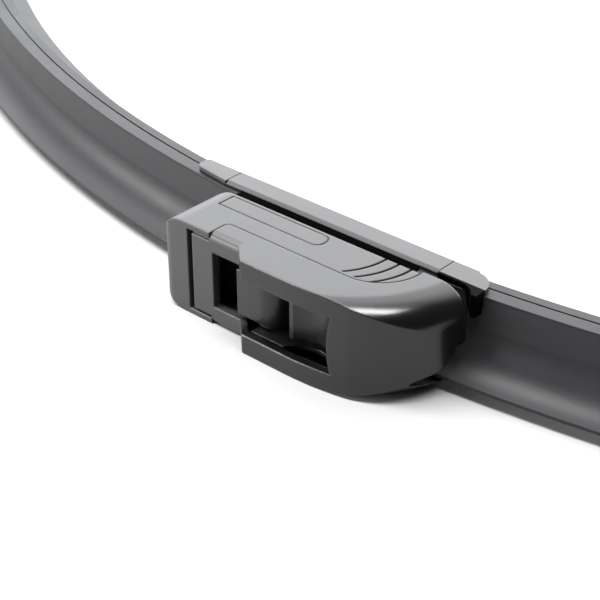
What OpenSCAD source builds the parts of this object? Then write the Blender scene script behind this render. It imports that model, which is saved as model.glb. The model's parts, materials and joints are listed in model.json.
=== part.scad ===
// Flat wiper blade with a hook connector, lying on its side on a table.
// Millimetres. X runs along the blade, Y from the hook pin towards the glass, Z across the blade.
// The origin is on the pin's axis, on the table that the connector's lower side rests on.

/* [Blade] */
// Length of the blade along its arc
blade_len = 400; // [300:5:600]
// Radius that the spring rails are bent to
bend_r = 317; // [260:1:900]
// Middle of the blade, measured from the hook pin
blade_shift = 3; // [-6:0.5:6]
// Distance from the pin's axis to the rails
pin_to_rail = 16.1; // [15.6:0.1:18]

/* [Spoiler] */
// Width of the spoiler's base
spoiler_w = 15; // [14.2:0.1:15.4]
// Height of the fin above the shoulder
fin_h = 7.2; // [6:0.1:8]
// Thickness of the fin at its tip
fin_t = 0.7; // [0.5:0.05:1.2]
// Radius of the hollow flank
flank_r = 8; // [7.4:0.1:10]
// How far the shoulder leans before the flank begins
shoulder_lean = 0.7; // [0.4:0.05:1.2]
// Thickness of the roof over the rails
roof_t = 1.8; // [1.2:0.1:2]
// Thickness of the claws under the rails
claw_t = 0.9; // [0.6:0.05:1.4]
// Width of the groove along the spoiler's side
side_groove = 0.45; // [0.2:0.05:0.8]
// Depth of the groove along the spoiler's side
side_groove_d = 0.3; // [0.1:0.05:0.6]

/* [Rails and rubber] */
// Width of one spring rail
rail_w = 5; // [4:0.1:5.2]
// Thickness of the spring rails
rail_t = 0.9; // [0.6:0.05:1.2]
// Thickness of the rubber between the rails
web_t = 2; // [1.4:0.1:2.4]
// How much a rail is short of the blade at each end
rail_short = 5; // [4:0.5:8]
// How much the rubber is short of the blade at each end
rubber_short = 3.5; // [3:0.5:4]
// Height of the rubber's head above the rails
head_h = 0.5; // [0.3:0.05:0.8]
// Width of the rubber's head
head_w = 4.2; // [3.4:0.1:5]
// Width of the rubber's body under the rails
body_w = 4.8; // [4:0.1:5]
// Height of the rubber's body
body_h = 1.3; // [1:0.1:1.8]
// Thickness of the neck that the lip tilts on
neck_t = 1; // [0.7:0.05:1.4]
// Height of the neck
neck_h = 1.4; // [1:0.1:2]
// Width of the lip at its shoulders
lip_w = 4.4; // [3.6:0.1:5]
// Height of the wiping lip
lip_h = 5.1; // [4:0.1:6]
// Width of the wiping edge
edge_w = 0.7; // [0.5:0.05:1]

/* [End caps] */
// Length of an end cap
cap_len = 20; // [16:0.5:26]
// Wall of an end cap
cap_wall = 1.2; // [1:0.1:1.8]
// Corner radius at the end of a cap
cap_r = 5; // [2:0.5:7]
// Width of the clip that ties the rail ends
clip_w = 4; // [3:0.2:5]
// Thickness of the clip's sheet
clip_t = 0.7; // [0.5:0.05:0.8]

/* [Base] */
// Gap between the spoiler and the base's sides
side_gap = 0.2; // [0.1:0.05:0.4]
// Wall of the base shroud
base_wall = 1; // [0.8:0.05:1.05]
// Length of the shroud's side bands
band_len = 53; // [50:0.5:55]
// Depth of the shroud's side bands
band_h = 6.1; // [5.4:0.1:6.4]
// Thickness of the shroud's roof
shroud_t = 0.8; // [0.6:0.05:0.9]
// Length of the gap between the two spoilers
spoiler_gap = 44.8; // [44.6:0.2:47]
// Length of the steel bracket
bracket_len = 42; // [38:0.5:43]
// Thickness of the bracket's sheet
sheet_t = 0.9; // [0.7:0.05:0.95]
// Thickness of the bracket's ears
ear_t = 1; // [0.8:0.05:1]
// Radius of the ears round the pin
ear_r = 3.3; // [3:0.1:3.6]
// Width of an ear at the base
ear_w = 21; // [16:0.5:24]
// Length of a bracket claw
claw_len = 7.5; // [5:0.5:9]
// Length of a hood
hood_len = 10.1; // [9:0.1:12]
// Corner radius of a hood
hood_r = 4.6; // [3.5:0.1:4.8]
// Height of the hood's lip above its side wall
hood_lip = 2.2; // [1.6:0.1:2.4]

/* [Connector] */
// Width of the connector
conn_w = 20; // [19.4:0.1:22]
// Face of the connector with the window, from the pin
front = 7.8; // [7.6:0.1:9]
// Face of the recessed bar, from the pin
bar_front = 4.3; // [3.9:0.1:5]
// Rim of the housing, from the pin
rim = 10.8; // [10:0.1:11.2]
// Left end of the housing, from the pin
left_end = 17.1; // [16.6:0.1:18]
// Right end of the housing, from the pin
toe_end = 36; // [34:0.1:36.2]
// Radius of the housing's slightly swelling face
swell_r = 70; // [50:1:120]
// Wall of the housing
wall = 1.8; // [1.4:0.1:2]
// Radius of the large rounding at the right end
crown_r = 6.6; // [6.6:0.1:7.4]
// Width of the hook window
window_w = 12; // [10.4:0.1:12.2]
// Diameter of the pivot pin
pin_d = 4; // [3.5:0.1:4.4]
// Running clearance of the pin, on the radius
pin_clear = 0.05; // [0.02:0.01:0.08]
// Thickness of the hook that the seat takes
hook_t = 3; // [2.5:0.1:3]
// Inner radius of that hook
hook_r = 4.2; // [3.9:0.05:4.25]
// Width of the hook seat
seat_w = 9.6; // [8.6:0.1:9.8]

/* [Lock] */
// Thickness of the lock's side plates
plate_t = 1.2; // [0.9:0.05:1.4]
// Gap between the lock's plates and the housing
seam = 0.25; // [0.15:0.05:0.4]
// Travel of the lock
lock_travel = 7; // [5:0.5:8]
// Length of the lock's end block
block_len = 7.4; // [6:0.1:8]
// Radius of the end block's outer corners
block_r = 6; // [4:0.1:7]
// Corner radius of the lock's side plates
plate_r = 9; // [7:0.1:9]
// Number of grip grooves
grips = 3; // [2:1:4]

/* [Hidden] */
$fn = 48;
arc_fn = 720;
swell_fn = 360;
far = 200;
slip = 0.1;
touch = 0.02;
fit_gap = 0.2;
base_w = spoiler_w + 2 * (side_gap + base_wall);
over = 1;

mid = conn_w / 2;
rail_y = pin_to_rail;
rail_far = rail_y + rail_t;
claw_y = rail_far + slip;
spoiler_far = claw_y + claw_t;
cavity_y = rail_y - head_h - slip - sheet_t;
shoulder_y = cavity_y - roof_t;
tip_y = shoulder_y - fin_h;
spoiler_low = mid - spoiler_w / 2;
spoiler_high = mid + spoiler_w / 2;
flank_y = shoulder_y - shoulder_lean - flank_r;
flank_z = spoiler_low + fin_t + sqrt(flank_r * flank_r - (tip_y - flank_y) * (tip_y - flank_y));
rail_in = web_t / 2 + slip;
rail_out = rail_in + rail_w;
cavity_half = rail_out + fit_gap;
claw_in = body_w / 2 + 0.4;
arc_y = rail_y + bend_r;
blade_half = blade_len / 2;
clip_far = blade_half - rail_short - 0.3;
spoiler_end = clip_far - clip_w - 0.3;
cap_gap = 0.15;
cap_far = spoiler_far + cap_wall;

plate_y = cavity_y;
bracket_half = cavity_half + 0.9;
shroud_y = plate_y - slip - shroud_t;
band_y = shroud_y + 1.1;
band_c = 0.6;
band_far = shroud_y + band_h;
base_half = base_w / 2;
band_in = base_half - base_wall;
hood_start = band_len / 2 + fit_gap;
hood_end = hood_start + hood_len;
hood_y = shroud_y + 0.5;
hood_far = shroud_y + band_h - 0.3;
hood_thin = 0.1;
hood_drop = 4.2;

swell_x0 = 9;
swell_x1 = 23.4;
nose_turn = 5.6;
bar_x = -4.9;
bar_r = 1.4;
step_x = -1.2;
swell_a = asin((swell_x1 - swell_x0) / swell_r);
toe_a = swell_a + nose_turn;
toe_r = (toe_end - swell_x1) / (1 - sin(toe_a));
toe_x = toe_end - toe_r;
arc_step = 0.01;
toe_y = -front + swell_r * (1 - cos(swell_a)) + toe_r * cos(toe_a) + arc_step;
crown_x = 5.7;
crown_y = 15.4;
crown_flat = 24.55;
window_x0 = -11.8;
window_x1 = 19.6;
window_bow = 0.8;
floor_gap = 0.1;
fin_room = 0.4;
recess_z = plate_t + floor_gap;
inner_z = recess_z + 1.5;
seam_y = 0.9;
plate_x1 = 16.9;
lock_rim = rim - 0.8;
block_gap = 1.3;
block_x1 = -left_end - block_gap;
block_x0 = block_x1 - block_len;
wide_x = -12.5;
seam_r = 1.3;
lug_x0 = -2;
lug_x1 = 1;
lug_y0 = 4.8;
lug_y1 = 6.4;

cheek_t = 0.9;
cheek_out = mid - inner_z - floor_gap;
cheek_in = cheek_out - cheek_t;
ear_in = seat_w / 2 + fit_gap;
ear_out = ear_in + ear_t;
carrier_x0 = -left_end + wall + 0.1;
carrier_x1 = 19.4;
slot_x = hook_r + hook_t + 0.1;

// Helpers

// a slab between two heights, drawn as an XY outline
module slab(z0, z1) {
  translate([0, 0, z0]) linear_extrude(z1 - z0) children();
}

// a bar between two X positions, drawn as a YZ outline
module along_x(x0, x1) {
  translate([x0, 0, 0]) rotate([90, 0, 90]) linear_extrude(x1 - x0) children();
}

// a bar between two Y positions, drawn as an XZ outline
module along_y(y0, y1) {
  translate([0, y1, 0]) rotate([90, 0, 0]) linear_extrude(y1 - y0) children();
}

// the same thing on the connector's upper and lower side
module both_sides() {
  children();
  translate([0, 0, conn_w]) mirror([0, 0, 1]) children();
}

// rectangle between two corners
module rect(x0, y0, x1, y1) {
  translate([x0, y0]) square([x1 - x0, y1 - y0]);
}

// rectangle with true round corners
module round_rect(x0, y0, x1, y1, r) {
  rect(x0 + r, y0, x1 - r, y1);
  rect(x0, y0 + r, x1, y1 - r);
  for (x = [x0 + r, x1 - r]) for (y = [y0 + r, y1 - r]) translate([x, y]) circle(r);
}

// a YZ outline carried along the bent blade, between two places measured from the pin
module along_blade(x0, x1) {
  a0 = (x0 - blade_shift) / bend_r * 180 / PI;
  a1 = (x1 - blade_shift) / bend_r * 180 / PI;
  translate([blade_shift, arc_y, 0]) rotate([0, 0, a0 - 90])
    rotate_extrude(angle = a1 - a0, $fn = arc_fn) translate([arc_y, 0]) mirror([1, 0]) children();
}

// moves to a place on the bent blade, with X along it and Y from the rails outwards
module at_blade(s) {
  translate([blade_shift, arc_y, 0]) rotate([0, 0, s / bend_r * 180 / PI])
    translate([0, -bend_r, 0]) children();
}

// the other end of the blade
module other_end() {
  translate([2 * blade_shift, 0, 0]) mirror([1, 0, 0]) children();
}

// YZ outline, the same on both sides of the blade's middle
module halves() {
  translate([0, mid]) children();
  translate([0, mid]) mirror([0, 1]) children();
}

// Blade

// outer section of the spoiler, grown on all sides
module spoiler_outline(grow) {
  edge_z = spoiler_high - 0.6 + grow;
  low_z = flank_z - 0.5;
  lean_y = shoulder_y - shoulder_lean - slip - grow;
  rect(shoulder_y - grow, spoiler_low - grow, spoiler_far + grow, spoiler_high + grow);
  difference() {
    polygon([[shoulder_y + over, edge_z], [shoulder_y - grow, edge_z], [lean_y, low_z],
      [tip_y - grow, low_z], [tip_y - grow, spoiler_low - grow], [shoulder_y + over, spoiler_low - grow]]);
    translate([flank_y, flank_z]) circle(flank_r - grow);
  }
}

module spoiler_section() {
  groove_y = rail_y - 0.3;
  difference() {
    spoiler_outline(0);
    rect(cavity_y, mid - cavity_half, claw_y, mid + cavity_half);
    rect(claw_y - over, mid - claw_in, spoiler_far + over, mid + claw_in);
    halves() rect(groove_y - side_groove / 2, spoiler_w / 2 - side_groove_d,
      groove_y + side_groove / 2, spoiler_w / 2 + over);
  }
}

module spoiler_left() {
  color("dimgray") along_blade(blade_shift - spoiler_end, -spoiler_gap / 2) spoiler_section();
}

module spoiler_right() {
  color("dimgray") along_blade(spoiler_gap / 2, blade_shift + spoiler_end) spoiler_section();
}

module rail(side) {
  along_blade(blade_shift - blade_half + rail_short, blade_shift + blade_half - rail_short)
    translate([0, mid]) scale([1, side]) rect(rail_y, rail_in, rail_far, rail_out);
}

module leading_rail() {
  color("silver") rail(1);
}

module trailing_rail() {
  color("silver") rail(-1);
}

// an outline from one half of its corners, the same on both sides of Y = 0
function both_halves(half) = concat(half, [for (i = [len(half) - 1 : -1 : 0]) [half[i][0], -half[i][1]]]);

// head, web between the rails, body, neck and lip
module rubber_section() {
  head_y = rail_y - touch;
  neck_y = claw_y + body_h;
  lip_y = neck_y + neck_h;
  lip_edge = 0.3;
  lip_side = 0.8;
  polygon(both_halves([[rail_y - head_h, head_w / 2], [head_y, head_w / 2], [head_y, web_t / 2],
    [claw_y, web_t / 2], [claw_y, body_w / 2], [neck_y, body_w / 2], [neck_y, neck_t / 2],
    [lip_y, neck_t / 2], [lip_y, lip_w / 2 - lip_edge], [lip_y + lip_edge, lip_w / 2],
    [lip_y + lip_side, lip_w / 2], [lip_y + lip_h, edge_w / 2]]));
}

module wiping_rubber() {
  half = blade_half - rubber_short;
  color("black") along_blade(blade_shift - half, blade_shift + half) translate([0, mid]) rubber_section();
}

// cap over the right end, open where the spoiler, the rail ends and the rubber go in
module end_cap_solid() {
  cap_x = blade_shift + blade_half;
  open_x = cap_x - cap_len - over;
  spoiler_x = blade_shift + spoiler_end + cap_gap;
  room = 0.9;
  rail_end = 2.5;
  rubber_end = 3;
  rubber_half = claw_in + 0.2;
  difference() {
    intersection() {
      along_blade(cap_x - cap_len, cap_x) spoiler_outline(cap_wall);
      at_blade(blade_half) along_y(-far / 4, far / 4)
        round_rect(-2 * cap_len, spoiler_low - cap_wall, 0, spoiler_high + cap_wall, cap_r);
    }
    along_blade(open_x, spoiler_x) spoiler_outline(cap_gap);
    along_blade(spoiler_x - over, cap_x - rail_end)
      rect(cavity_y - room, mid - cavity_half - room, spoiler_far + 0.3, mid + cavity_half + room);
    along_blade(open_x, cap_x - rubber_end)
      rect(rail_y, mid - rubber_half, cap_far + over, mid + rubber_half);
  }
}

module end_cap_right() {
  color("dimgray") end_cap_solid();
}

module end_cap_left() {
  color("dimgray") other_end() end_cap_solid();
}

// steel strap round both rails, hidden in the end cap
module rail_clip_solid() {
  clip_x = blade_shift + clip_far;
  clip_y = rail_y - head_h - slip - clip_t;
  along_blade(clip_x - clip_w, clip_x) difference() {
    rect(clip_y, mid - rail_out - slip - clip_t, claw_y + clip_t, mid + rail_out + slip + clip_t);
    rect(clip_y + clip_t, mid - rail_out - slip, claw_y, mid + rail_out + slip);
    rect(claw_y - over, mid - claw_in, claw_y + 2 * clip_t, mid + claw_in);
  }
}

module rail_clip_right() {
  color("silver") rail_clip_solid();
}

module rail_clip_left() {
  color("silver") other_end() rail_clip_solid();
}

// Base on the rails

// ear of the bracket, from the eye round the pin to the plate
module ear_outline() {
  foot_y = plate_y + sheet_t / 2;
  eye = ear_r - slip;
  circle(ear_r);
  polygon([[-eye, 0], [eye, 0], [ear_w / 2, foot_y], [-ear_w / 2, foot_y]]);
}

// folded sheet round both rails, with the claws' lips
module bracket_section() {
  open_half = claw_in + 0.4;
  difference() {
    rect(plate_y, mid - bracket_half, claw_y + claw_t, mid + bracket_half);
    rect(plate_y + sheet_t, mid - rail_out - slip, claw_y, mid + rail_out + slip);
    rect(claw_y - over, mid - open_half, far, mid + open_half);
  }
}

module base_bracket() {
  half = bracket_len / 2;
  between = half - claw_len;
  hole = 5;
  eye_gap = ear_in - 0.6;
  color("gray") difference() {
    union() {
      along_blade(-half, half) bracket_section();
      both_sides() slab(mid + ear_in, mid + ear_out) ear_outline();
    }
    along_blade(-between, between) rect(rail_far, 0, rail_far + 3 * claw_t, conn_w);
    cylinder(h = conn_w, d = pin_d);
    slab(0, conn_w) rect(-hole, plate_y - over, hole, plate_y + sheet_t + over);
    slab(mid - eye_gap, mid + eye_gap) circle(ear_r + over);
  }
}

// side band of the shroud, with its edges chamfered
module band_outline() {
  edge = 0.3;
  polygon([[band_y, band_in], [band_y, base_half - band_c], [band_y + band_c, base_half],
    [band_far - edge, base_half], [band_far, base_half - edge], [band_far, band_in]]);
}

// roof of the shroud between the spoilers, sloping to the side band
module roof_outline() {
  polygon([[shroud_y, -slip], [shroud_y, base_half - 1.7], [band_y, base_half - band_c],
    [band_y + band_c, base_half - band_c], [band_y + band_c, band_in], [shroud_y + shroud_t, band_in],
    [shroud_y + shroud_t, -slip]]);
}

module base_shroud() {
  roof_half = spoiler_gap / 2 - fit_gap;
  slot_half = ear_w / 2 + 2.5;
  slot_z = ear_out + 0.6;
  catch_half = 12;
  catch_y = rail_far + 1.5;
  color("dimgray") {
    along_x(-band_len / 2, band_len / 2) halves() band_outline();
    difference() {
      along_x(-roof_half, roof_half) halves() roof_outline();
      slab(mid - slot_z, mid + slot_z) rect(-slot_half, shroud_y - over, slot_half, plate_y);
    }
    along_x(-catch_half, catch_half) halves()
      rect(catch_y, claw_in + 0.2, catch_y + 0.9, base_half - 0.5);
  }
}

// side wall of the right hood
module hood_wall_outline() {
  turn_x = hood_end - hood_r;
  turn_y = hood_y + 0.3;
  rect(hood_start, hood_y, turn_x, hood_far);
  rect(turn_x - over, hood_y - hood_lip, hood_end, turn_y);
  intersection() {
    translate([turn_x, turn_y]) circle(hood_r);
    rect(0, hood_y, far, far);
  }
}

module hood_right() {
  color("gray") difference() {
    slab(mid + hood_drop, mid + base_half) hood_wall_outline();
    slab(mid, conn_w) translate([hood_end - 5, hood_y - hood_r]) circle(hood_r);
    along_blade(hood_start - 5, hood_end + 5) spoiler_outline(fit_gap);
    slab(mid, spoiler_high + fit_gap + hood_thin) rect(0, spoiler_far, far, far);
  }
}

// the left hood has no lip: its near edge runs back over the spoiler's side
module hood_left_outline() {
  tip = hood_end - 0.8;
  near_y = band_y + 1.2;
  near_c = 0.8;
  far_c = 0.6;
  polygon([[-hood_start, band_y], [near_c - tip, near_y], [-tip, near_y + near_c],
    [-tip, hood_far - far_c], [far_c - tip, hood_far], [-hood_start, hood_far]]);
}

module hood_left() {
  color("gray") difference() {
    slab(mid + hood_drop, mid + base_half) hood_left_outline();
    along_blade(-hood_end - 5, 5 - hood_start) spoiler_outline(fit_gap);
    slab(mid, spoiler_high + fit_gap + hood_thin) rect(-far, spoiler_far, 0, far);
  }
}

module pivot_pin() {
  pin_len = 2 * (cheek_out - floor_gap);
  pin_r = pin_d / 2;
  c = 0.4;
  color("silver") translate([0, 0, mid - pin_len / 2]) rotate_extrude()
    polygon([[0, 0], [pin_r - c, 0], [pin_r, c], [pin_r, pin_len - c], [pin_r - c, pin_len], [0, pin_len]]);
}

// Connector

// plan of the housing, moved inwards, up to a chosen Y
module housing_plan(inset, y_end) {
  rect(-left_end, -bar_front + inset, step_x + over, y_end);
  polygon([[bar_x, -bar_front + inset], [step_x, -front + inset], [step_x + over, -front + inset],
    [step_x + over, y_end], [bar_x, y_end]]);
  rect(step_x, -front + inset, swell_x0, y_end);
  intersection() {
    translate([swell_x0, swell_r - front]) circle(swell_r - inset, $fn = swell_fn);
    rect(swell_x0, -far, swell_x1, y_end);
  }
  intersection() {
    translate([toe_x, toe_y]) circle(toe_r - inset, $fn = 96);
    rect(swell_x1, -far, far, min(toe_y, y_end));
  }
  if (y_end > toe_y) rect(toe_x, toe_y, toe_end - inset, y_end);
}

// what the growing rounding at the right end takes off both sides
module crown_cut() {
  both_sides() translate([crown_x, crown_y, 0]) rotate([0, 0, -78])
    rotate_extrude(angle = 82, $fn = 120) difference() {
      rect(crown_flat, conn_w - crown_r, crown_flat + 2 * crown_r, conn_w + over);
      translate([crown_flat, conn_w - crown_r + touch]) circle(crown_r, $fn = 32);
    }
}

// plan of the lock's side plate, grown by the seam
module lock_plan(grow) {
  rect(block_x0 + block_r, seam_y - grow, plate_x1, lock_rim + grow);
  intersection() {
    translate([plate_x1, seam_y + plate_r]) circle(plate_r + grow);
    rect(plate_x1, seam_y - grow, far, lock_rim + grow);
  }
  rect(block_x0 + block_r, -bar_front - 2 * grow, wide_x + grow, seam_y + over);
  difference() {
    rect(wide_x, seam_y - seam_r, wide_x + seam_r, seam_y + slip);
    translate([wide_x + seam_r, seam_y - seam_r]) circle(seam_r - grow);
  }
}

// rounds the recessed bar's edges along its two sides
module bar_edge_cut() {
  both_sides() along_x(wide_x - over, bar_x) difference() {
    rect(-bar_front - over, conn_w - bar_r, -bar_front + bar_r, conn_w + over);
    translate([-bar_front + bar_r + touch, conn_w - bar_r - touch]) circle(bar_r);
  }
}

module window_cut() {
  bow_r = (window_w * window_w / 4 + window_bow * window_bow) / (2 * window_bow);
  along_y(-front - over, seam_y + over) difference() {
    rect(window_x0, mid - window_w / 2, window_x1, mid + window_w / 2);
    translate([window_x1 - window_bow + bow_r, mid]) circle(bow_r);
  }
}

// slot for the fin in the right end, over the lower wall and wider towards the rim
module fin_way() {
  low = spoiler_low - fin_room;
  high = spoiler_low + fin_t + 1.4;
  end_y = 0.1;
  start_x = 29.5;
  along_x(start_x, far / 4) polygon([[end_y + 3.9, low], [end_y + 2.9, low + 0.9], [end_y + 0.4, low + 1.4],
    [end_y, low + 1.7], [end_y, high - 0.4], [end_y + 0.5, high], [end_y + 5.4, high + 1.2],
    [end_y + 7.9, high + 3.6], [end_y + 8.5, high + 5], [rim + over, high + 5], [rim + over, low]]);
}

module housing() {
  open = rim + over;
  lead = 0.5;
  blade_y = tip_y - 2.6;
  color("dimgray") difference() {
    slab(0, conn_w) housing_plan(0, rim);
    crown_cut();
    slab(inner_z, conn_w - inner_z) intersection() {
      housing_plan(wall, open);
      rect(-left_end + wall, -far, far, far);
    }
    slab(wall, conn_w - wall) intersection() {
      housing_plan(wall, open);
      rect(bar_x + wall, -far, far, seam_y - seam - plate_t);
    }
    both_sides() slab(conn_w - recess_z, conn_w + over) {
      lock_plan(seam);
      rect(wide_x, seam_y, plate_x1, open);
      rect(plate_x1 - over, seam_y + plate_r, plate_x1 + plate_r + seam, open);
      rect(-left_end - over, -bar_front - over, wide_x, open);
    }
    both_sides() slab(conn_w - recess_z - lead, conn_w + over)
      rect(-left_end - over, -bar_front - over, wide_x, -bar_front + lead);
    both_sides() slab(conn_w - inner_z - over, conn_w)
      rect(lug_x0 - lock_travel - fit_gap, lug_y0 - fit_gap, lug_x1 + fit_gap, lug_y1 + fit_gap);
    slab(spoiler_low - fin_room, mid) intersection() {
      housing_plan(wall, open);
      rect(spoiler_gap / 2 - fin_room, blade_y, far, open);
    }
    window_cut();
    bar_edge_cut();
    fin_way();
  }
}

// block behind the window: a round seat for the hook, cheeks at both sides and a stop
module hook_carrier() {
  stop_y = -hook_r + 0.2;
  stop_far = 6;
  web_y = 1.5;
  leg_x = -9;
  dish_r = 7.2;
  color("slategray") difference() {
    union() {
      slab(mid - seat_w / 2, mid + seat_w / 2) {
        circle(hook_r);
        rect(-5.6, -hook_r, 0, hook_r);
        rect(leg_x, web_y, 0, hook_r);
        rect(slot_x, stop_y, carrier_x1, stop_far);
      }
      slab(mid - cheek_out, mid + cheek_out) {
        rect(carrier_x0, web_y, leg_x + 0.4, hook_r);
        rect(slot_x + 0.5, 0, carrier_x1, stop_far);
      }
      both_sides() slab(mid + cheek_in, mid + cheek_out) {
        rect(carrier_x0, -bar_front + wall + 0.2, carrier_x1, lock_rim);
        rect(step_x + 0.3, -front + wall + 0.5, 2 * dish_r, 0);
      }
    }
    translate([slot_x + 5.9, stop_y + 2 - dish_r, 0]) cylinder(h = conn_w, r = dish_r);
    cylinder(h = conn_w, r = pin_d / 2 + pin_clear);
  }
}

// Lock

// hollow end block, open to the right and on its lower side where the fin passes
module end_block() {
  skin = 1.6;
  near_r = 3;
  far_r = 5.5;
  long = 40;
  difference() {
    intersection() {
      slab(0, conn_w) {
        rect(block_x0 + far_r, -bar_front, block_x1, lock_rim);
        rect(block_x0, near_r - bar_front, block_x1, lock_rim - far_r);
        translate([block_x0 + near_r, near_r - bar_front]) circle(near_r);
        rect(block_x0 + near_r, -bar_front, block_x1, 0);
        intersection() {
          translate([block_x0 + far_r, lock_rim - far_r]) circle(far_r);
          rect(block_x0, -bar_front, block_x0 + far_r + slip, far);
        }
      }
      along_y(-far, far) round_rect(block_x0, 0, block_x0 + long, conn_w, block_r);
    }
    along_y(-bar_front + skin, far)
      round_rect(block_x0 + skin, skin, block_x0 + long, conn_w - skin, block_r - skin);
    translate([block_x0 - over, tip_y - 2.6, skin]) cube([block_r + 2 * over, far, mid - 2 - skin]);
  }
}

// plain outline on the side plates
module panel_outline(inset) {
  low_y = 5 + inset;
  high_y = 9.4 - inset;
  end_x = 6.3 - inset;
  intersection() {
    round_rect(2 * block_x0, low_y, end_x, high_y, 1.9 - inset);
    rect(block_x1 - 0.8 + inset, 0, far, far);
  }
}

module lock_slide() {
  groove = 0.35;
  groove_d = 0.3;
  grip_d = 0.5;
  grip_r = 13.4;
  grip_x = 5.2;
  grip_step = 2.85;
  grip_w = 0.55;
  grip_from = 10;
  color("darkslategray") difference() {
    union() {
      end_block();
      both_sides() {
        slab(conn_w - plate_t, conn_w) lock_plan(0);
        slab(conn_w - inner_z + slip, conn_w - plate_t + slip) rect(lug_x0, lug_y0, lug_x1, lug_y1);
      }
    }
    both_sides() slab(conn_w - groove_d, conn_w + over) difference() {
      panel_outline(0);
      panel_outline(groove);
    }
    both_sides() slab(conn_w - grip_d, conn_w + over) intersection() {
      rect(grip_from, seam_y + grip_d, far, far);
      for (i = [0 : grips - 1]) translate([grip_x + grip_step * i, lock_rim]) difference() {
        circle(grip_r);
        circle(grip_r - grip_w);
      }
    }
  }
}

spoiler_left();
spoiler_right();
leading_rail();
trailing_rail();
wiping_rubber();
end_cap_left();
end_cap_right();
rail_clip_left();
rail_clip_right();
base_bracket();
base_shroud();
hood_left();
hood_right();
pivot_pin();
housing();
hook_carrier();
lock_slide();
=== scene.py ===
import json

import bpy
from mathutils import Matrix, Vector

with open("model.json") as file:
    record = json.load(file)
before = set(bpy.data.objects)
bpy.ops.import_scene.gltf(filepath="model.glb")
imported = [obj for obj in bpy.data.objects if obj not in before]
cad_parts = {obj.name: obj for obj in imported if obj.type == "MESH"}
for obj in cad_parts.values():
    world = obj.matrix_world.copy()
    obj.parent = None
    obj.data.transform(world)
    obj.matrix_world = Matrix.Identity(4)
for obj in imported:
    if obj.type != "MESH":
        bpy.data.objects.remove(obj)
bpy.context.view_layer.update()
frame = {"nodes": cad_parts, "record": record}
nodes = frame["nodes"]

MM = 0.001

# Noise scales, per millimetre of the piece.
PATCH_SCALE = 0.09
HOUSING_PATCH_SCALE = 0.08
GRAIN_SCALE = 5.5
DRAWN_SCALE = 1.1
ROLLED_SCALE = 2.2

# How noise is scaled along X, Y and Z: the lines of an extrusion, the marks of rolled strip.
DRAWN_STRETCH = (0.01, 1, 1)
ROLLED_STRETCH = (0.15, 1, 6)

NOISE_ROUGHNESS = 0.55
MARK_RANGE = (0.3, 0.7)
GRAIN_STRENGTH = 0.6
LINE_STRENGTH = 0.5
BEVEL_SAMPLES = 6

# The plain moulded plastic that the caps, the lock, the bands and the housing's sides share.
GRAINED_COLOR = (0.022, 0.022, 0.023)
GRAINED_ROUGH = 0.46

# In mm: the housing's middle plane, how far from it the flat sides begin, and the polish's start.
MID_Z = 10.0
SIDE_START = (9.93, 9.98)
POLISH_X = (-4.0, -2.0)
POLISHED_COLOR = (0.003, 0.003, 0.0035)
POLISHED_ROUGH = 0.22

# Where the roof of the gap ends and the base's bands begin, in mm. The roof gets painted shade:
# near black and dull.
BAND_Y = (14.72, 14.84)
# Painted shade on the roof: a near black colour and no gloss in place of the gap's deep shadow.
PAINTED_SHADE_ROOF_COLOR = (0.002, 0.002, 0.002)
PAINTED_SHADE_ROOF_ROUGH = 0.85
BAND_ROUGH = 0.42

FLOOR_HALF = 6.0
FLOOR_DROP = 0.02 * MM
FLOOR_COLOR = (0.31, 0.31, 0.31, 1)
FLOOR_ROUGH = 0.8

# The tent's middle direction, the cosines between which it fades in, and its two strengths.
TENT_AXIS = Vector((-0.42, 0.78, 0.46)).normalized()
TENT_FADE = (0.35, 0.80)
TENT_STRENGTH = (0.05, 4.8)
TENT_COLOR = (0.98, 0.99, 1, 1)

CAM_AT = Vector((161.96, -174.98, 155.92)) * MM
CAM_BACK = Vector((0.5651, -0.6355, 0.5261)).normalized()
CAM_LENS = 90.0
CAM_SENSOR = 36.0
CAM_CLIP = (0.01, 50)


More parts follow.
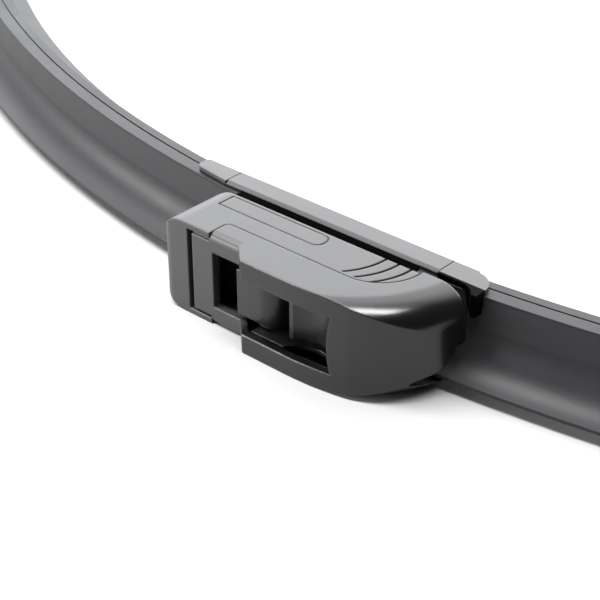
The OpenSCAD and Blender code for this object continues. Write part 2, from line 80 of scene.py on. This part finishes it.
class Mat:
    """A node tree for one finish, with short calls for the procedural parts."""

    def __init__(self, name):
        self.mat = bpy.data.materials.new(name)
        self.mat.use_nodes = True
        self.nt = self.mat.node_tree
        self.bsdf = self.nt.nodes["Principled BSDF"]

    def new(self, kind, **values):
        n = self.nt.nodes.new(kind)
        for key, value in values.items():
            setattr(n, key, value)
        return n

    def link(self, a, b):
        self.nt.links.new(a, b)

    def feed(self, name, value):
        """Link a value to the shader's socket of that name."""
        self.link(value, self.bsdf.inputs[name])

    def coords(self, stretch=(1, 1, 1)):
        """Object space in millimetres, so the detail keeps its real size."""
        tc = self.new("ShaderNodeTexCoord")
        mp = self.new("ShaderNodeMapping")
        mp.inputs["Scale"].default_value = [s / MM for s in stretch]
        self.link(tc.outputs["Object"], mp.inputs["Vector"])
        return mp.outputs["Vector"]

    def axis(self, vec, name):
        n = self.new("ShaderNodeSeparateXYZ")
        self.link(vec, n.inputs["Vector"])
        return n.outputs[name]

    def noise(self, vec, scale, detail):
        n = self.new("ShaderNodeTexNoise")
        n.inputs["Scale"].default_value = scale
        n.inputs["Detail"].default_value = detail
        n.inputs["Roughness"].default_value = NOISE_ROUGHNESS
        self.link(vec, n.inputs["Vector"])
        return n.outputs["Fac"]

    def remap(self, value, low, high, start=0.0, end=1.0):
        """Take start..end to low..high, and hold the ends."""
        n = self.new("ShaderNodeMapRange")
        n.inputs["From Min"].default_value = start
        n.inputs["From Max"].default_value = end
        n.inputs["To Min"].default_value = low
        n.inputs["To Max"].default_value = high
        self.link(value, n.inputs["Value"])
        return n.outputs["Result"]

    def math(self, operation, a, b=None):
        """One Math node of a socket and, if the operation takes two, a socket or a number."""
        n = self.new("ShaderNodeMath", operation=operation)
        self.link(a, n.inputs[0])
        if isinstance(b, float):
            n.inputs[1].default_value = b
        elif b is not None:
            self.link(b, n.inputs[1])
        return n.outputs[0]

    def mix(self, fac, a, b):
        """Two plain colours by fac. The node's colours are inputs 6 and 7 and output 2."""
        n = self.new("ShaderNodeMix", data_type="RGBA")
        n.inputs[6].default_value = (*a, 1)
        n.inputs[7].default_value = (*b, 1)
        self.link(fac, n.inputs[0])
        return n.outputs[2]

    def bevel(self, radius):
        n = self.new("ShaderNodeBevel", samples=BEVEL_SAMPLES)
        n.inputs["Radius"].default_value = radius * MM
        return n.outputs["Normal"]

    def bump(self, height, distance, strength, normal):
        n = self.new("ShaderNodeBump")
        n.inputs["Strength"].default_value = strength
        n.inputs["Distance"].default_value = distance * MM
        self.link(height, n.inputs["Height"])
        self.link(normal, n.inputs["Normal"])
        return n.outputs["Normal"]


def moulded(name, color, rough, grain=0.012, edge=0.25, spec=0.5, lines=0.0):
    """Moulded plastic or rubber: fine grain, soft patches in the gloss, rounded edges.

    grain, edge and lines are in mm. lines adds the faint drawn lines that an extruded
    rubber shows along its length.
    """
    tint = 0.12
    lift = 0.002
    gloss_spread = 0.08
    m = Mat(name)
    v = m.coords()
    patches = m.noise(v, PATCH_SCALE, detail=3)
    shade = tuple(c * (1 - tint) for c in color)
    light = tuple(c * (1 + tint) + lift for c in color)
    m.feed("Base Color", m.mix(patches, shade, light))
    m.feed("Roughness", m.remap(patches, rough - gloss_spread, rough + gloss_spread))
    m.bsdf.inputs["Specular IOR Level"].default_value = spec
    normal = m.bump(m.noise(v, GRAIN_SCALE, detail=2), grain, GRAIN_STRENGTH, m.bevel(edge))
    if lines:
        drawn = m.noise(m.coords(DRAWN_STRETCH), DRAWN_SCALE, detail=3)
        normal = m.bump(drawn, lines, LINE_STRENGTH, normal)
    m.feed("Normal", normal)
    return m.mat


def steel(name, color, rough):
    """Cold rolled strip: bright, with fine marks along it."""
    mark_shade = 0.85
    duller, brighter = 0.1, 0.07
    mark_depth = 0.004
    edge = 0.1
    shade = tuple(c * mark_shade for c in color)
    m = Mat(name)
    marks = m.noise(m.coords(ROLLED_STRETCH), ROLLED_SCALE, detail=4)
    m.bsdf.inputs["Metallic"].default_value = 1
    m.feed("Base Color", m.mix(marks, shade, color))
    m.feed("Roughness", m.remap(marks, rough - brighter, rough + duller, *MARK_RANGE))
    m.feed("Normal", m.bump(marks, mark_depth, LINE_STRENGTH, m.bevel(edge)))
    return m.mat


def two_zones(m, zone, patch_scale, colors, roughs, gloss_spread, grain, edge):
    """Moulded plastic with the first colour and roughness where zone is 0, the second where 1."""
    v = m.coords()
    patches = m.remap(m.noise(v, patch_scale, detail=3), -gloss_spread, gloss_spread)
    fine = m.noise(v, GRAIN_SCALE, detail=2)
    m.feed("Base Color", m.mix(zone, *colors))
    m.feed("Roughness", m.math("ADD", m.remap(zone, *roughs), patches))
    m.feed("Normal", m.bump(fine, grain, GRAIN_STRENGTH, m.bevel(edge)))


def housing_finish():
    """Grained on the two flat sides and at the left end, polished on the face and the nose."""
    m = Mat("housing_plastic")
    v = m.coords()
    right = m.remap(m.axis(v, "X"), 0.0, 1.0, *POLISH_X)
    from_mid = m.math("ABSOLUTE", m.math("SUBTRACT", m.axis(v, "Z"), MID_Z))
    off_side = m.remap(from_mid, 1.0, 0.0, *SIDE_START)
    polished = m.math("MULTIPLY", right, off_side)
    two_zones(m, polished, HOUSING_PATCH_SCALE,
              colors=(GRAINED_COLOR, POLISHED_COLOR), roughs=(GRAINED_ROUGH, POLISHED_ROUGH),
              gloss_spread=0.05, grain=0.006, edge=0.5)
    return m.mat


def base_grain_and_painted_shade():
    """Grained plastic on the bands, and painted shade, near black, on the roof of the gap beside
    them.

    The roof's near black is painted shade that stands for the deep shadow in the gap. Its
    metallic value of 1 only takes away the gloss that plastic would have there.
    """
    m = Mat("base_plastic")
    # band is 1 on the bands and 0 on the roof, where the painted shade goes.
    band = m.remap(m.axis(m.coords(), "Y"), 0.0, 1.0, *BAND_Y)
    two_zones(m, band, PATCH_SCALE,
              colors=(PAINTED_SHADE_ROOF_COLOR, GRAINED_COLOR), roughs=(PAINTED_SHADE_ROOF_ROUGH, BAND_ROUGH),
              gloss_spread=0.07, grain=0.012, edge=0.3)
    # Metallic 1 on the roof keeps the painted shade free of gloss.
    m.feed("Metallic", m.remap(band, 1.0, 0.0))
    return m.mat


MOULDED = {
    "spoiler_rubber": dict(color=(0.007, 0.0071, 0.0085), rough=0.50, grain=0.010, edge=0.2,
                           spec=0.3, lines=0.05),
    "wiping_rubber": dict(color=(0.012, 0.012, 0.013), rough=0.6, grain=0.006, edge=0.08),
    "cap_plastic": dict(color=GRAINED_COLOR, rough=GRAINED_ROUGH),
    "bracket_steel": dict(color=(0.015, 0.015, 0.016), rough=0.36, grain=0.004, edge=0.15),
    "carrier_plastic": dict(color=(0.008, 0.008, 0.009), rough=0.28),
    "lock_plastic": dict(color=GRAINED_COLOR, rough=GRAINED_ROUGH, edge=0.5),
}
STEEL = {
    "spring_steel": dict(color=(0.45, 0.45, 0.46), rough=0.34),
    "pin_steel": dict(color=(0.55, 0.55, 0.56), rough=0.25),
}

finishes = {name: moulded(name, **look) for name, look in MOULDED.items()}
finishes |= {name: steel(name, **look) for name, look in STEEL.items()}
# The base's bands are grained plastic, and its roof in the gap gets painted shade.
finishes["base_plastic"] = base_grain_and_painted_shade()
finishes["housing_plastic"] = housing_finish()

slot_of = {s["node"]: s["material_slot"] for s in frame["record"]["subparts"]}
for name, obj in nodes.items():
    obj.data.materials.clear()
    obj.data.materials.append(finishes[slot_of[name]])


def add(name, data):
    obj = bpy.data.objects.new(name, data)
    bpy.context.scene.collection.objects.link(obj)
    return obj


def aim(obj, place, along, back):
    """Put obj at place, facing against back, with its X axis as near to along as that allows."""
    up = back.cross(along).normalized()
    turn = Matrix((up.cross(back), up, back)).transposed()
    obj.matrix_world = Matrix.Translation(place) @ turn.to_4x4()


# The table, a hair under the blade so that the two don't share a plane.
h = FLOOR_HALF
floor_mesh = bpy.data.meshes.new("floor")
floor_mesh.from_pydata([(-h, -h, 0), (h, -h, 0), (h, h, 0), (-h, h, 0)], [], [(0, 1, 2, 3)])
floor = add("floor", floor_mesh)
floor.location.z = -FLOOR_DROP
floor_finish = Mat("floor")
floor_finish.bsdf.inputs["Base Color"].default_value = FLOOR_COLOR
floor_finish.bsdf.inputs["Roughness"].default_value = FLOOR_ROUGH
floor_mesh.materials.append(floor_finish.mat)

# A white tent behind and over the blade, dark in front of it.
world = bpy.data.worlds.new("studio")
bpy.context.scene.world = world
world.use_nodes = True
wt = world.node_tree
bg = wt.nodes["Background"]
bg.inputs["Color"].default_value = TENT_COLOR
tc = wt.nodes.new("ShaderNodeTexCoord")
dot = wt.nodes.new("ShaderNodeVectorMath")
dot.operation = "DOT_PRODUCT"
dot.inputs[1].default_value = TENT_AXIS
wt.links.new(tc.outputs["Generated"], dot.inputs[0])
tent = wt.nodes.new("ShaderNodeMapRange")
tent.interpolation_type = "SMOOTHSTEP"
tent.inputs["From Min"].default_value, tent.inputs["From Max"].default_value = TENT_FADE
tent.inputs["To Min"].default_value, tent.inputs["To Max"].default_value = TENT_STRENGTH
wt.links.new(dot.outputs["Value"], tent.inputs["Value"])
wt.links.new(tent.outputs["Result"], bg.inputs["Strength"])
bpy.context.scene.view_settings.view_transform = "Standard"


def soft_box(name, place, target, size, power, along):
    """A rectangular light at place that faces target, with its first size running along."""
    light = bpy.data.lights.new(name, "AREA")
    light.shape = "RECTANGLE"
    light.size, light.size_y = size
    light.energy = power
    back = (Vector(place) - Vector(target)).normalized()
    aim(add(name, light), place, Vector(along), back)


# The strip makes the highlight on the housing's rounding, and the left box lights its face.
soft_box("strip", place=(-0.12, -0.18, 1.00), target=(0, 0, 0),
         size=(1.5, 0.22), power=34.0, along=(0.88, 0.25, 0))
soft_box("left", place=(-0.95, -0.95, 0.25), target=(-0.02, 0, 0.01),
         size=(0.9, 0.35), power=30.0, along=(0.7, -0.7, 0))

cam_data = bpy.data.cameras.new("camera")
cam_data.lens = CAM_LENS
cam_data.sensor_width = CAM_SENSOR
cam_data.clip_start, cam_data.clip_end = CAM_CLIP
cam = add("camera", cam_data)
aim(cam, CAM_AT, Vector((0, 0, 1)).cross(CAM_BACK), CAM_BACK)
bpy.context.scene.camera = cam
